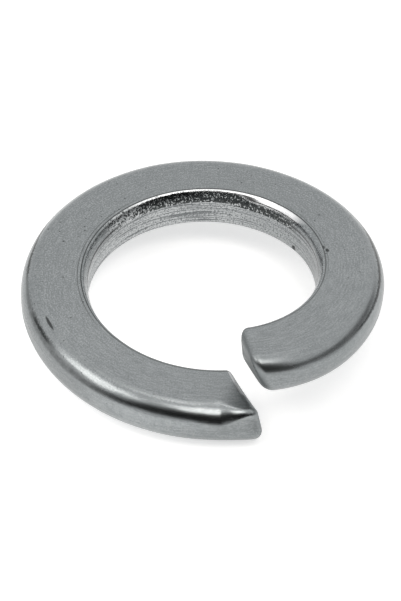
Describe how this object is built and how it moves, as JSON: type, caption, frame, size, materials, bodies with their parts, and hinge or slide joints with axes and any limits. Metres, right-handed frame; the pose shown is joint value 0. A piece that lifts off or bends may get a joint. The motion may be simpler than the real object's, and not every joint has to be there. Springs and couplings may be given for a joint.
{
  "type": "spring lock washer",
  "caption": "Split spring lock washer: one left-hand turn of flat steel wire with a round bore and sheared ends that stand apart in height.",
  "frame": {"origin": "on the bore's axis, at the height of the free spring's lowest point", "axes": "+Z along the bore's axis, from the lower end of the wire to the upper one; the gap is at -Y"},
  "size_m": [0.0326, 0.0329, 0.0087],
  "materials": {
    "steel": "bright zinc on spring steel, satin on the faces and glossy on the rolled corners, with fine pits"
  },
  "bodies": {
    "root": {"spring_washer": "steel"}
  },
  "joints": []
}
